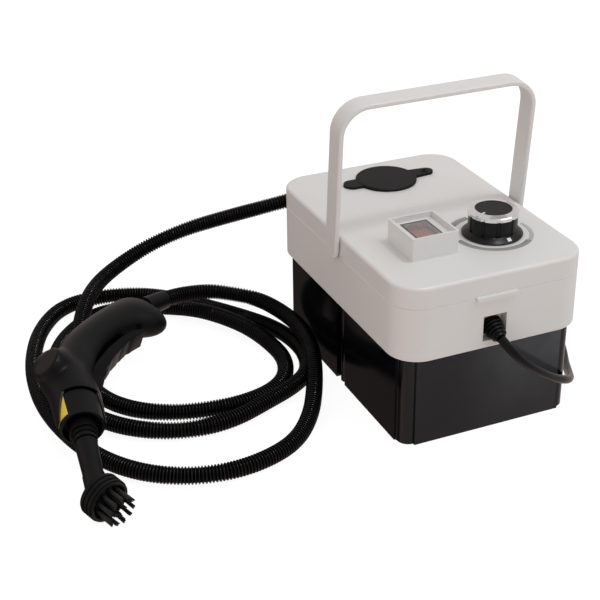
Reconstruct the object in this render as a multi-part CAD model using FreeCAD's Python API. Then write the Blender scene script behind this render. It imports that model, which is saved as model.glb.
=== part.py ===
"""Portable steam cleaner: a smoked water tank under a white machine head with a bail handle,
a corrugated steam hose that lies in three loose turns, and a steam gun with a bristle brush.

Millimetres, +Z up.  Origin: centre of the tank's underside, on the floor.  The cord comes out of
the front (-Y), the steam hose out of the back (+Y), and +X is to the right seen from the front.
"""
import FreeCAD
import Part
import math
import os

V = FreeCAD.Vector
os.makedirs("parts", exist_ok=True)

# ---- driving dimensions ---------------------------------------------------------------------
HEAD_W = 184.0            # width of the white head
HEAD_D = 266.0            # depth of the white head
HEAD_R = 28.0             # plan corner radius of the head
HEAD_Z0 = 86.5            # lower edge of the head
SEAM_Z = 137.0            # parting line between lower housing and top cover
SEAM_BEVEL = 0.5          # each half's share of the groove at the parting line
LID_Z = 157.0             # top of the cover
WALL = 3.0                # wall of head mouldings
TANK_INSET = 6.0          # tank panels lie this far inside the head
TANK_WALL = 3.2
TANK_TOP = 85.0
COLUMN_X = 73.5           # corner column of the tank, from the middle
COLUMN_Y = 114.0
COLUMN_R = 10.5
FLOOR_TOP = HEAD_Z0 + 3.5  # inner floor of the head

HANDLE_PIVOT = V(0, -2.0, 144.0)
HANDLE_REACH = 138.5      # pivot to the outer face of the top bar
HANDLE_LEAN = 5.0         # degrees forward of upright at rest
STRAP_W = 21.0
STRAP_T = 4.4
STRAP_IN = 93.2           # inner face of a leg, from the middle
STRAP_CORNER = 28.0
PEG_R = 6.0
RUN_FIT = 0.05            # radial clearance of running fits

KNOB = V(34.4, -61.6, 0)
KNOB_SKIRT_R = 27.5
KNOB_R = 22.0
KNOB_RING_R = 22.9
KNOB_RIM_R = 16.6         # inside edge of the bright ring
GROOVES = 10
GROOVE_TURN = -107.3      # direction of the first groove, degrees
POT_SHAFT_R = 3.0

HOOD = V(-35.4, -60.9, 0)
HOOD_W = 44.8
HOOD_D = 47.8
HOOD_TOP = LID_Z + 21.6
HOOD_WALL = 1.8
LEDGE_Z = 173.2           # platform inside the hood
ROCKER_PIVOT_Z = 164.0

FILL = V(3.6, 86.8, 0)
CAP_R = 29.6
NECK_R = 21.0             # inside radius of the filler neck
CAP_HINGE_X = 33.45
CAP_HINGE_Z = 160.2

RELIEF = V(-2.0, -123.0, 106.0)   # where the power cord passes the recess wall
OUTLET = V(0, 133.0, 105.0)       # where the steam hose fitting passes the back wall

HOSE_D = 15.8
CORD_D = 8.0

# Steam gun: origin on the barrel axis at its collar groove; axes along the barrel, towards the
# trigger side, and out of the gun's upper flank.
GUN_ORIGIN = V(-340.5, -1.7, 40.0)
GUN_ALONG = V(-0.1261, -0.9744, -0.1862)
GUN_SIDE = V(0.9643, -0.0765, -0.2535)
TRIGGER_PIN = (-18.0, 20.0)
TRIGGER_TRAVEL = 7.0

# Points of the steam hose from the machine to the gun.
HOSE_ROUTE = [
    (0, 168, 105), (-3, 196, 104), (-34, 209, 98), (-71, 224, 87), (-107, 244, 74),
    (-146, 263, 60), (-188, 270, 45), (-228, 260, 32), (-256, 237, 28), (-277, 202, 28),
    (-295, 165, 18), (-307, 125, 9), (-311, 85, 7.9), (-303, 46, 7.9), (-283, 18, 7.9),
    (-254, 0, 7.9), (-221, -9, 7.9), (-188, -11, 7.9), (-157, -3, 7.9), (-135, 16, 7.9),
    (-123, 47, 7.9), (-124, 79, 7.9), (-134, 110, 12), (-149, 140, 13), (-170, 172, 12),
    (-200, 199, 7.9), (-233, 213, 7.9), (-266, 211, 7.9), (-293, 191, 7.9), (-315, 165, 7.9),
    (-331, 129, 7.9), (-337, 87, 7.9), (-330, 42, 7.9), (-309, 4, 7.9), (-279, -22, 7.9),
    (-244, -35, 7.9), (-206, -33, 7.9), (-169, -19, 9), (-137, -4, 7.9), (-113, 14, 7.9),
    (-101, 46, 7.9), (-101, 80, 7.9), (-110, 112, 7.9), (-128, 143, 7.9), (-150, 174, 7.9),
    (-176, 207, 7.9), (-209, 236, 7.9), (-252, 249, 7.9), (-293, 242, 7.9), (-324, 205, 7.9),
    (-344, 157, 7.9), (-355, 108, 7.9), (-358, 56, 7.9), (-351, 6, 7.9), (-336, -40, 7.9),
    (-311, -76, 7.9), (-277, -99, 7.9), (-240, -108, 7.9), (-204, -104, 7.9), (-170, -89, 7.9),
    (-143, -59, 9), (-125, -28, 15), (-111, 4, 24), (-101, 36, 25), (-96, 71, 25), (-100, 106, 25),
    (-113, 136, 28), (-136, 149, 33), (-161, 158, 38),
]
# Points of the power cord from its strain relief to the coil behind the machine.
CORD_ROUTE = [
    (-1, -142, 98.8), (4, -150, 90.5), (17, -152, 76), (38, -148, 58.5), (59, -141, 43), (77.5, -132.5, 32),
    (93.5, -116.5, 21), (107, -94.5, 12), (120, -70, 6), (134.5, -44, 4.5), (148, -14, 4), (159, 20, 4),
    (168, 62, 4), (174, 108, 4), (177, 155, 4.4), (178.2, 200, 5.2), (178.4, 224, 5.2),
]
COIL = V(126, 232, 0)
COIL_R = 44.0             # middle radius of the wound turns
COIL_SIDE = 12.2          # half the bundle's breadth
COIL_Z0 = 1.0
COIL_Z1 = 17.2


# ---- helpers --------------------------------------------------------------------------------
def save(name, shape):
    """Write one node and print its volume."""
    shape = shape.removeSplitter() if len(shape.Solids) == 1 else shape
    shape.exportStep("parts/%s.step" % name)
    print("%-22s solids %2d  volume %10.1f  valid %s" % (name, len(shape.Solids), shape.Volume, shape.isValid()))


def box(x0, x1, y0, y1, z0, z1):
    return Part.makeBox(x1 - x0, y1 - y0, z1 - z0, V(x0, y0, z0))


def rod(start, along, radius, length):
    return Part.makeCylinder(radius, length, start, along)


def tube(start, along, outer, inner, length):
    return rod(start, along, outer, length).cut(rod(start, along, inner, length))


def fused(shapes):
    first = shapes[0]
    return first.fuse(shapes[1:]) if len(shapes) > 1 else first


def plate(width, depth, corner, z0, z1, centre=V(0, 0, 0)):
    """A block with rounded vertical corners."""
    x, y, r = width / 2.0, depth / 2.0, corner
    q = r * math.sqrt(0.5)
    edges = []
    corners = [(x, y, 1, 1), (-x, y, -1, 1), (-x, -y, -1, -1), (x, -y, 1, -1)]
    points = []
    for cx, cy, sx, sy in corners:
        mid = V(cx - sx * r + sx * q, cy - sy * r + sy * q, z0)
        on_side = V(cx, cy - sy * r, z0)
        on_end = V(cx - sx * r, cy, z0)
        pair = (on_side, mid, on_end) if sx * sy > 0 else (on_end, mid, on_side)
        points.append(pair)
    for i, (first, mid, last) in enumerate(points):
        edges.append(Part.Arc(first, mid, last).toShape())
        edges.append(Part.LineSegment(last, points[(i + 1) % 4][0]).toShape())
    solid = Part.Face(Part.Wire(edges)).extrude(V(0, 0, z1 - z0))
    solid.translate(centre)
    return solid


def round_edges(shape, radius, test):
    """Fillet every edge whose bounding box passes the test."""
    edges = [e for e in shape.Edges if test(e.BoundBox)]
    return shape.makeFillet(radius, edges)


def bevel_edges(shape, size, test):
    """Chamfer every edge whose bounding box passes the test."""
    return shape.makeChamfer(size, [e for e in shape.Edges if test(e.BoundBox)])


def prism(outline, start, depth):
    """Extrude a closed outline of (x, y) points along Z from start."""
    points = [V(x, y, start) for x, y in outline]
    face = Part.Face(Part.makePolygon(points + [points[0]]))
    return face.extrude(V(0, 0, depth))


def route_wire(points, label):
    """Straight runs joined by tangent arcs, each as large as its two runs allow."""
    pts = [V(*p) for p in points]
    edges = []
    here = pts[0]
    least = 1e9
    for before, corner, after in zip(pts, pts[1:], pts[2:]):
        back = before - corner
        ahead = after - corner
        shorter = min(back.Length, ahead.Length)
        back.normalize()
        ahead.normalize()
        half_turn = (math.pi - back.getAngle(ahead)) / 2.0
        radius = 0.45 * shorter / math.tan(half_turn)
        cut = 0.45 * shorter
        start = corner + back * cut
        end = corner + ahead * cut
        middle = back + ahead
        middle.normalize()
        centre = corner + middle * (radius / math.cos(half_turn))
        top = centre - middle * radius
        edges.append(Part.LineSegment(here, start).toShape())
        edges.append(Part.Arc(start, top, end).toShape())
        here = end
        least = min(least, radius)
    edges.append(Part.LineSegment(here, pts[-1]).toShape())
    wire = Part.Wire(edges)
    print("%s: length %.0f, least radius %.1f" % (label, wire.Length, least))
    return wire


def swept(points, radius, label, inner=0.0):
    """A round tube or rod along a route."""
    wire = route_wire(points, label)
    start = V(*points[0])
    along = V(*points[1]) - start

    def pipe(r):
        circle = Part.Wire(Part.Circle(start, along, r).toShape())
        return wire.makePipeShell([circle], True, False)
    solid = pipe(radius)
    if inner:
        solid = solid.cut(pipe(inner))
    section = math.pi * (radius ** 2 - inner ** 2)
    print("%s: volume / (section x length) = %.4f" % (label, solid.Volume / (section * wire.Length)))
    return solid


def spin(profile, centre):
    """Turn an outline of (radius, z) points about a vertical axis."""
    points = [V(r, 0, z) for r, z in profile]
    face = Part.Face(Part.makePolygon(points + [points[0]]))
    solid = face.revolve(V(0, 0, 0), V(0, 0, 1), 360)
    solid.translate(V(centre.x, centre.y, 0))
    return solid


# ---- water tank -----------------------------------------------------------------------------
SCREW_POINTS = [(sx * COLUMN_X, sy * COLUMN_Y) for sx in (-1, 1) for sy in (-1, 1)]
SIDE_POINTS = [(-79.0, -1.0), (79.0, -1.0)]
TANK_W = HEAD_W - 2 * TANK_INSET
TANK_D = HEAD_D - 2 * TANK_INSET


def water_tank():
    body = plate(TANK_W, TANK_D, 6.0, 0, TANK_TOP)
    panel_x, panel_y = 75.0, 112.0
    for sx, sy in ((-1, -1), (1, -1), (-1, 1), (1, 1)):
        corner = box(panel_x, 120, panel_y, 150, -1, TANK_TOP + 1)
        corner = corner.fuse(box(panel_x - 1.5, panel_x, COLUMN_Y, 150, -1, TANK_TOP + 1))
        if sx < 0:
            corner = corner.mirror(V(0, 0, 0), V(1, 0, 0))
        if sy < 0:
            corner = corner.mirror(V(0, 0, 0), V(0, 1, 0))
        body = body.cut(corner)
        column = rod(V(sx * COLUMN_X, sy * COLUMN_Y, 0), V(0, 0, 1), COLUMN_R, TANK_TOP)
        bead = rod(V(sx * 80.2, sy * 111.5, 0), V(0, 0, 1), 4.4, TANK_TOP)
        filler = box(sx * 66 - 10, sx * 66 + 10, sy * 104 - 10, sy * 104 + 10, 0, TANK_TOP)
        body = body.fuse([column, bead, filler])
    for sx in (-1, 1):
        groove = box(sx * 86 - 5.2, sx * 86 + 5.2, -9.6, 7.6, -1, TANK_TOP + 1)
        body = body.cut(groove)
        body = body.fuse(rod(V(sx * 79.0, -1, 0), V(0, 0, 1), 6.0, TANK_TOP))
    cavity = plate(TANK_W - 2 * TANK_WALL, TANK_D - 2 * TANK_WALL, 22.0, TANK_WALL, TANK_TOP + 1)
    for x, y in SCREW_POINTS:
        cavity = cavity.cut(rod(V(x, y, 0), V(0, 0, 1), 5.6, TANK_TOP + 2))
    for sx in (-1, 1):
        cavity = cavity.cut(box(sx * 80 - 9.5, sx * 80 + 9.5, -13.0, 11.0, 0, TANK_TOP + 2))
    body = body.cut(cavity)
    for x, y in SCREW_POINTS + SIDE_POINTS:
        body = body.cut(rod(V(x, y, -1), V(0, 0, 1), 2.25, TANK_TOP + 2))
        body = body.cut(rod(V(x, y, -1), V(0, 0, 1), 4.4, 5.2))
    return body


def tank_gasket():
    outer = plate(TANK_W - 3.0, TANK_D - 3.0, 22.0, TANK_TOP, HEAD_Z0)
    inner = plate(TANK_W - 12.0, TANK_D - 12.0, 18.0, TANK_TOP - 1, HEAD_Z0 + 1)
    ring = outer.cut(inner)
    for x, y in SCREW_POINTS + SIDE_POINTS:
        ring = ring.cut(rod(V(x, y, TANK_TOP - 1), V(0, 0, 1), 2.6, 4))
    return ring


def tank_screws():
    screws = []
    for x, y in SCREW_POINTS + SIDE_POINTS:
        head = rod(V(x, y, 1.4), V(0, 0, 1), 3.8, 2.8)
        head = head.cut(box(x - 0.5, x + 0.5, y - 3, y + 3, 1, 2.4))
        screws.append(head.fuse(rod(V(x, y, 4.2), V(0, 0, 1), 2.0, 93.4)))
    return Part.makeCompound(screws)


# ---- head -----------------------------------------------------------------------------------
RECESS = (-13.4, 9.4, -124.0, 93.6, 117.6)     # cord recess: x0, x1, back y, z0, z1
COVER_SCREWS = [(-50, 121), (50, 121), (-50, -118), (40, -121)]


def lower_housing():
    shell = plate(HEAD_W, HEAD_D, HEAD_R, HEAD_Z0, SEAM_Z)
    shell = round_edges(shell, 1.5, lambda b: b.ZMax < HEAD_Z0 + 0.1)
    shell = bevel_edges(shell, SEAM_BEVEL, lambda b: b.ZMin > SEAM_Z - 0.1)
    shell = shell.cut(plate(HEAD_W - 2 * WALL, HEAD_D - 2 * WALL, HEAD_R - WALL, FLOOR_TOP, SEAM_Z + 1))
    x0, x1, back, z0, z1 = RECESS
    shell = shell.fuse(box(x0 - 2.5, x1 + 2.5, -131, back + 2.5, z0 - 3.2, z1 + 2.5))
    shell = shell.cut(box(x0, x1, -140, back, z0, z1))
    shell = shell.cut(rod(V(RELIEF.x, back - 1, RELIEF.z), V(0, 1, 0), 5.3, 6))
    for x, y in SCREW_POINTS + SIDE_POINTS:
        shell = shell.fuse(rod(V(x, y, FLOOR_TOP - 0.5), V(0, 0, 1), 5.0, 12.5))
        shell = shell.cut(rod(V(x, y, HEAD_Z0 - 1), V(0, 0, 1), 2.1, 12.4))
    for x, y in COVER_SCREWS:
        shell = shell.cut(rod(V(x, y, HEAD_Z0 - 1), V(0, 0, 1), 1.75, 6))
        shell = shell.cut(rod(V(x, y, HEAD_Z0 - 1), V(0, 0, 1), 3.2, 2.9))
    posts = [rod(V(x, y, FLOOR_TOP - 0.5), V(0, 0, 1), 5.0, 3.5) for x in (-60, 20) for y in (-18, 22)]
    posts += [rod(V(x, y, FLOOR_TOP - 0.5), V(0, 0, 1), 3.0, 10.5) for x in (-80, 22) for y in (-100, -46)]
    shell = shell.fuse(posts)
    shell = shell.cut(rod(V(FILL.x, FILL.y, HEAD_Z0 - 1), V(0, 0, 1), 25.2, 6))
    shell = shell.cut(rod(V(56.8, -112, HEAD_Z0 - 1), V(0, 0, 1), 4.4, 6))
    shell = shell.cut(rod(V(0, 129, OUTLET.z), V(0, 1, 0), 6.2, 6))
    return shell


def top_cover():
    shell = plate(HEAD_W, HEAD_D, HEAD_R, SEAM_Z, LID_Z)
    shell = round_edges(shell, 3.2, lambda b: b.ZMin > LID_Z - 0.1)
    shell = bevel_edges(shell, SEAM_BEVEL, lambda b: b.ZMax < SEAM_Z + 0.1)
    shell = shell.cut(plate(HEAD_W - 2 * WALL, HEAD_D - 2 * WALL, HEAD_R - WALL, SEAM_Z - 1, LID_Z - WALL))
    lip = box(-22, 18, -136.6, -132.0, SEAM_Z - 2.6, SEAM_Z + 1.2)
    lip = round_edges(lip, 1.2, lambda b: b.YMax < -136.5 and b.XLength < 0.1)
    lip = lip.cut(box(-30, 30, -133.15, -132, SEAM_Z - 5, SEAM_Z))
    shell = shell.fuse(lip)
    for sx in (-1, 1):
        boss = rod(V(sx * 89.5, HANDLE_PIVOT.y, HANDLE_PIVOT.z), V(-sx, 0, 0), 10.0, 3.5)
        hole = rod(V(sx * 95, HANDLE_PIVOT.y, HANDLE_PIVOT.z), V(-sx, 0, 0), PEG_R + RUN_FIT, 15)
        boss = boss.cut(box(-100, 100, -30, 30, 100, SEAM_Z))
        shell = shell.fuse(boss).cut(hole)
    for x, y in COVER_SCREWS:
        post = rod(V(x, y, FLOOR_TOP), V(0, 0, 1), 4.0, LID_Z - WALL - FLOOR_TOP + 0.5)
        shell = shell.fuse(post).cut(rod(V(x, y, FLOOR_TOP - 1), V(0, 0, 1), 1.5, 16))
    shell = shell.cut(rod(V(FILL.x, FILL.y, 140), V(0, 0, 1), 24.4, 30))
    shell = shell.cut(rod(V(45, FILL.y, 140), V(0, 0, 1), 2.6, 30))
    shell = shell.cut(rod(V(KNOB.x, KNOB.y, 140), V(0, 0, 1), 4.6, 30))
    shell = shell.cut(box(HOOD.x - 15, HOOD.x + 15, HOOD.y - 18.5, HOOD.y + 18.5, 140, 170))
    return shell


def cover_screws():
    screws = []
    for x, y in COVER_SCREWS:
        head = rod(V(x, y, HEAD_Z0 + 0.1), V(0, 0, 1), 3.0, 1.8)
        screws.append(head.fuse(rod(V(x, y, HEAD_Z0 + 1.8), V(0, 0, 1), 1.45, 14)))
    return Part.makeCompound(screws)


# ---- bail handle ----------------------------------------------------------------------------
def leaned(shape):
    """Lean a shape that was made upright about the handle's pivot."""
    shape.rotate(HANDLE_PIVOT, V(1, 0, 0), HANDLE_LEAN)
    return shape


def bail_handle():
    out = STRAP_IN + STRAP_T
    y0 = HANDLE_PIVOT.y - STRAP_W / 2.0
    top = HANDLE_PIVOT.z + HANDLE_REACH
    low = HANDLE_PIVOT.z

    def arch(half, height, corner):
        q = corner * (1 - math.sqrt(0.5))
        left = [V(-half, y0, low), V(-half, y0, height - corner), V(-half + q, y0, height - q),
                V(-half + corner, y0, height)]
        right = [V(-p.x, p.y, p.z) for p in left]
        edges = [Part.LineSegment(left[0], left[1]).toShape(), Part.Arc(left[1], left[2], left[3]).toShape(),
                 Part.LineSegment(left[3], right[3]).toShape(), Part.Arc(right[3], right[2], right[1]).toShape(),
                 Part.LineSegment(right[1], right[0]).toShape(), Part.LineSegment(right[0], left[0]).toShape()]
        return Part.Face(Part.Wire(edges)).extrude(V(0, STRAP_W, 0))
    bail = arch(out, top, STRAP_CORNER).cut(arch(STRAP_IN, top - STRAP_T, STRAP_CORNER - STRAP_T))
    for sx in (-1, 1):
        bail = bail.fuse(rod(V(sx * STRAP_IN, HANDLE_PIVOT.y, low), V(sx, 0, 0), STRAP_W / 2.0, STRAP_T))
    bail = bail.removeSplitter()
    bail = bail.makeFillet(1.4, [e for e in bail.Edges if e.Length > 8])
    for sx in (-1, 1):
        peg = rod(V(sx * (STRAP_IN + 0.5), HANDLE_PIVOT.y, low), V(-sx, 0, 0), PEG_R, 8.2)
        spacer = rod(V(sx * (STRAP_IN + 0.5), HANDLE_PIVOT.y, low), V(-sx, 0, 0), 8.5, 1.2)
        bail = bail.fuse([peg, spacer])
        bail = bail.cut(rod(V(sx * 85, HANDLE_PIVOT.y, low), V(sx, 0, 0), 1.6, 10))
    return leaned(bail)


def handle_retainers():
    made = []
    for sx in (-1, 1):
        washer = rod(V(sx * (STRAP_IN - 7.7), HANDLE_PIVOT.y, HANDLE_PIVOT.z), V(-sx, 0, 0), 8.6, 1.2)
        head = rod(V(sx * (STRAP_IN - 8.9), HANDLE_PIVOT.y, HANDLE_PIVOT.z), V(-sx, 0, 0), 3.6, 2.0)
        shank = rod(V(sx * (STRAP_IN - 8.9), HANDLE_PIVOT.y, HANDLE_PIVOT.z), V(sx, 0, 0), 1.55, 9.0)
        made.append(leaned(washer.fuse([head, shank])))
    return Part.makeCompound(made)


# ---- switch ---------------------------------------------------------------------------------
def hood_block(half_x, half_y, z0, z1):
    return box(HOOD.x - half_x, HOOD.x + half_x, HOOD.y - half_y, HOOD.y + half_y, z0, z1)


def switch_hood():
    """Raised box round the switch: a thin rim, a platform below it, and a well that holds the switch."""
    hood = hood_block(HOOD_W / 2, HOOD_D / 2, LID_Z, HOOD_TOP)
    hood = round_edges(hood, 1.2, lambda b: b.XLength < 0.1 and b.YLength < 0.1)
    side, end = HOOD_W / 2 - HOOD_WALL, HOOD_D / 2 - HOOD_WALL
    hood = hood.cut(hood_block(side, end, LEDGE_Z, 190))
    hood = hood.cut(hood_block(side, end, 150, 163))
    hood = hood.cut(hood_block(13.4, 18.8, 166.5, 190))
    return hood.cut(hood_block(12.7, 16.2, 150, 180))


def switch_body():
    bezel = hood_block(13.1, 18.5, 166.5, 168.6)
    barrel = hood_block(12.4, 15.9, 148, 166.5)
    pocket = hood_block(10.5, 14.3, 156, 170)
    body = bezel.fuse(barrel).cut(pocket)
    for sx in (-1, 1):
        body = body.cut(rod(V(HOOD.x + sx * 10, HOOD.y, ROCKER_PIVOT_Z), V(sx, 0, 0), 1.5 + RUN_FIT, 1.6))
    blades = [box(HOOD.x - 3.2, HOOD.x + 3.2, HOOD.y + y - 0.4, HOOD.y + y + 0.4, 139, 148.2) for y in (-9, 0, 9)]
    return body.fuse(blades)


def rocker():
    """Paddle with two finger faces that meet in a shallow valley, tilted to its on position."""
    outline = [(-13.0, 4.6), (0, 2.6), (13.0, 4.6), (12.2, -0.6), (6, -4.4), (-6, -4.4), (-12.2, -0.6)]
    points = [V(-10.1, y, z) for y, z in outline]
    paddle = Part.Face(Part.makePolygon(points + [points[0]])).extrude(V(20.2, 0, 0))
    axle = rod(V(-11.4, 0, 0), V(1, 0, 0), 1.5, 22.8)
    made = paddle.fuse(axle)
    made.rotate(V(0, 0, 0), V(1, 0, 0), -9.0)
    made.translate(V(HOOD.x, HOOD.y, ROCKER_PIVOT_Z))
    return made


def splash_cover():
    """Clear lid over the rocker; it stands on the switch's rim and ends just proud of the platform."""
    cover = hood_block(13.0, 18.4, 168.6, LEDGE_Z + 0.6)
    cover = round_edges(cover, 0.8, lambda b: b.ZMin > LEDGE_Z)
    return cover.cut(hood_block(11.4, 16.8, 160, LEDGE_Z - 0.8))


# ---- steam control knob ---------------------------------------------------------------------
def grooves(distance, radius, z0, z1):
    """Round cutters that stand in a ring, one at each groove of the knob."""
    cutters = []
    for i in range(GROOVES):
        angle = math.radians(GROOVE_TURN + 360.0 / GROOVES * i)
        place = V(KNOB.x + distance * math.cos(angle), KNOB.y + distance * math.sin(angle), z0)
        cutters.append(rod(place, V(0, 0, 1), radius, z1 - z0))
    return fused(cutters)


def knob_body():
    profile = [(6.0, 161.6), (20.2, 161.6), (20.2, 159.2), (22.6, 157.9), (KNOB_SKIRT_R, 157.9),
               (KNOB_SKIRT_R, 158.6), (25.2, 160.6), (KNOB_R, 162.3), (KNOB_R, 176.8), (KNOB_RIM_R, 176.8),
               (KNOB_RIM_R, 178.0), (POT_SHAFT_R, 178.0), (POT_SHAFT_R, 161.6)]
    return spin(profile, KNOB).cut(grooves(KNOB_R + 0.9, 2.1, 162.0, 177.0))


def knob_ring():
    """Bright ring whose lower edge hangs as one tab between each two grooves."""
    ring = spin([(KNOB_RIM_R + 0.05, 176.8), (KNOB_RING_R, 176.8), (KNOB_RING_R, 179.6), (21.9, 180.5),
                 (KNOB_RIM_R + 0.8, 181.5), (KNOB_RIM_R + 0.05, 181.5)], KNOB)
    return ring.cut(grooves(KNOB_RING_R + 1.2, 2.3, 176.0, 179.4))


def knob_disc():
    return spin([(0, 178.0), (KNOB_RIM_R, 178.0), (KNOB_RIM_R, 180.6), (0, 180.6)], KNOB)


def knob_mark(angle, shape):
    shape.rotate(V(0, 0, 0), V(0, 0, 1), angle)
    shape.translate(V(KNOB.x, KNOB.y, 0))
    return shape


def knob_pointer():
    """White line on the disc, and a white patch on the slope of the skirt."""
    line = knob_mark(200.0, box(11.8, 15.6, -0.8, 0.8, 180.6, 180.9))
    slope = spin([(23.6, 161.0), (25.2, 160.0), (26.4, 159.2), (26.6, 159.7), (25.3, 160.8), (23.8, 161.7)], KNOB)
    body = spin([(22.1, 157.9), (KNOB_SKIRT_R, 157.9), (KNOB_SKIRT_R, 158.6), (25.2, 160.6), (22.1, 162.25)], KNOB)
    patch = slope.cut(body).common(knob_mark(275.7, box(20.0, 28.0, -1.9, 1.9, 155.0, 165.0)))
    return Part.makeCompound([line, patch])


def pot_body():
    can = rod(V(KNOB.x, KNOB.y, 142), V(0, 0, 1), 12.0, 12.0)
    bush = rod(V(KNOB.x, KNOB.y, 150), V(0, 0, 1), 4.5, 10.6)
    body = can.fuse([bush, box(KNOB.x - 8, KNOB.x + 8, KNOB.y - 19, KNOB.y - 9, 143, 145)])
    return body.cut(rod(V(KNOB.x, KNOB.y, 146), V(0, 0, 1), POT_SHAFT_R + RUN_FIT, 40))


def pot_nut():
    points = [V(KNOB.x + 6.6 * math.cos(math.radians(60 * i)), KNOB.y + 6.6 * math.sin(math.radians(60 * i)), LID_Z)
              for i in range(6)]
    nut = Part.Face(Part.makePolygon(points + [points[0]])).extrude(V(0, 0, 2.6))
    return nut.cut(rod(V(KNOB.x, KNOB.y, 150), V(0, 0, 1), 4.52, 20))


def pot_shaft():
    return rod(V(KNOB.x, KNOB.y, 146.5), V(0, 0, 1), POT_SHAFT_R, 31.5)


def dial_marks():
    """Printed scale round the knob: bold marks at the left, then marks that grow finer clockwise."""
    marks = []

    def add(angle, r0, r1, width):
        mark = box(r0, r1, -width / 2, width / 2, LID_Z, LID_Z + 0.12)
        mark.rotate(V(0, 0, 0), V(0, 0, 1), angle)
        mark.translate(V(KNOB.x, KNOB.y, 0))
        marks.append(mark)
    for i in range(20):
        add(98 + 4.0 * i, 34.0, 40.4, 1.35)
    for i in range(43):
        add(183 + 3.0 * i, 31.6, 37.2, 0.85)
    for i in range(17):
        add(312 + 3.6 * i, 33.0, 37.0, 0.5)
    return Part.makeCompound(marks)


# ---- filler ---------------------------------------------------------------------------------
def filler_cap():
    disc = spin([(0, 157.2), (CAP_R, 157.2), (CAP_R, 159.2), (CAP_R - 0.9, 160.0), (0, 160.0)], FILL)
    ear = box(FILL.x - 36, FILL.x - 20, FILL.y - 9, FILL.y + 9, 157.2, 159.6)
    tip = rod(V(FILL.x - 36, FILL.y, 157.2), V(0, 0, 1), 9.0, 2.4)
    neck = prism([(FILL.x + 20, FILL.y - 13), (CAP_HINGE_X - 0.15, FILL.y - 8), (CAP_HINGE_X - 0.15, FILL.y + 8),
                  (FILL.x + 20, FILL.y + 13)], 157.2, 2.4)
    plug = tube(V(FILL.x, FILL.y, 152.6), V(0, 0, 1), 20.2, 17.4, 5.0)
    return disc.fuse([ear, tip, neck, plug])


def cap_strap():
    """Tapered tail of the cap, with a rounded end."""
    strap = prism([(CAP_HINGE_X + 0.15, FILL.y - 8), (47.5, FILL.y - 6.6), (47.5, FILL.y + 6.6),
                   (CAP_HINGE_X + 0.15, FILL.y + 8)], 157.0, 2.6)
    strap = strap.fuse(rod(V(47.5, FILL.y, 157.0), V(0, 0, 1), 6.6, 2.6))
    return strap.cut(rod(V(45, FILL.y, 150), V(0, 0, 1), 2.4, 20))


def cap_stud():
    """Push-in stud of the strap, with a dimple in its head."""
    head = rod(V(45, FILL.y, 159.6), V(0, 0, 1), 3.8, 0.6)
    stud = head.fuse([rod(V(45, FILL.y, 150), V(0, 0, 1), 2.3, 9.8), rod(V(45, FILL.y, 151.8), V(0, 0, 1), 3.6, 2.2)])
    return stud.cut(rod(V(45, FILL.y, 157.6), V(0, 0, 1), 1.9, 4))


def filler_neck():
    pipe = tube(V(FILL.x, FILL.y, 80), V(0, 0, 1), 24.2, NECK_R, 74.0)
    funnel = tube(V(FILL.x, FILL.y, 153.9), V(0, 0, 1), 24.2, NECK_R, 3.0)
    flange = tube(V(FILL.x, FILL.y, 92.2), V(0, 0, 1), 28.5, NECK_R, 2.0)
    return pipe.fuse([funnel, flange])


def neck_seal():
    return tube(V(FILL.x, FILL.y, FLOOR_TOP), V(0, 0, 1), 28.5, 24.3, 2.2)


# ---- steam maker inside the head ------------------------------------------------------------
def heater_loop():
    bars = [rod(V(-46, y, 101), V(1, 0, 0), 4.2, 86) for y in (-14.0, 18.0)]
    ring = Part.makeTorus(16.0, 4.2, V(-46, 2, 101))
    return fused([ring.common(box(-90, -46, -30, 40, 90, 110))] + bars)


def boiler_block():
    block = box(-72, 32, -28, 32, 93, 131)
    block = round_edges(block, 4.0, lambda b: b.XLength < 0.1 and b.YLength < 0.1)
    ribs = [box(-64, 24, y, y + 2.4, 131, 134) for y in (-24, 26)]
    return block.fuse(ribs).cut(heater_loop())


def thermostats():
    made = []
    for x in (-50, 10):
        made.append(rod(V(x, 0, 131), V(0, 0, 1), 8.0, 6.0).fuse(rod(V(x, 0, 137), V(0, 0, 1), 5.0, 3.0)))
    return Part.makeCompound(made)


PUMP = V(60, 0, 112)


def pump_coil():
    coil = rod(V(PUMP.x, -22, PUMP.z), V(0, 1, 0), 18.0, 44)
    frame = box(42, 78, -24, -22, 94, 130).fuse(box(42, 78, 22, 24, 94, 130))
    return coil.fuse(frame).cut(rod(V(PUMP.x, -30, PUMP.z), V(0, 1, 0), 7.05, 60))


def pump_body():
    body = rod(V(PUMP.x, -40, PUMP.z), V(0, 1, 0), 7.0, 78)
    return body.fuse([rod(V(PUMP.x, -46, PUMP.z), V(0, 1, 0), 3.5, 7), rod(V(PUMP.x, 37, PUMP.z), V(0, 1, 0), 3.5, 7)])


def pump_mounts():
    return Part.makeCompound([box(48, 72, y - 3, y + 3, FLOOR_TOP, 94) for y in (-23, 23)])


def suction_tube():
    return swept([(PUMP.x, -46, PUMP.z), (PUMP.x - 0.5, -80, PUMP.z), (56.8, -112, PUMP.z - 6), (56.8, -112, 14)],
                 4.0, "suction tube", 2.4)


def strainer():
    body = rod(V(56.8, -112, TANK_WALL), V(0, 0, 1), 9.0, 7.4)
    body = body.fuse(rod(V(56.8, -112, 10.5), V(0, 0, 1), 5.0, 3.5))
    slots = [box(56.8 - 12, 56.8 + 12, -112 + y - 0.6, -112 + y + 0.6, 0, 8.4) for y in (-5, 0, 5)]
    return body.cut(fused(slots))


def feed_tube():
    return swept([(PUMP.x, 44, PUMP.z), (PUMP.x, 54, PUMP.z), (50, 57.5, PUMP.z), (18, 57.5, PUMP.z),
                  (8, 54, PUMP.z), (8, 32, PUMP.z)], 3.0, "feed tube", 1.8)


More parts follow.
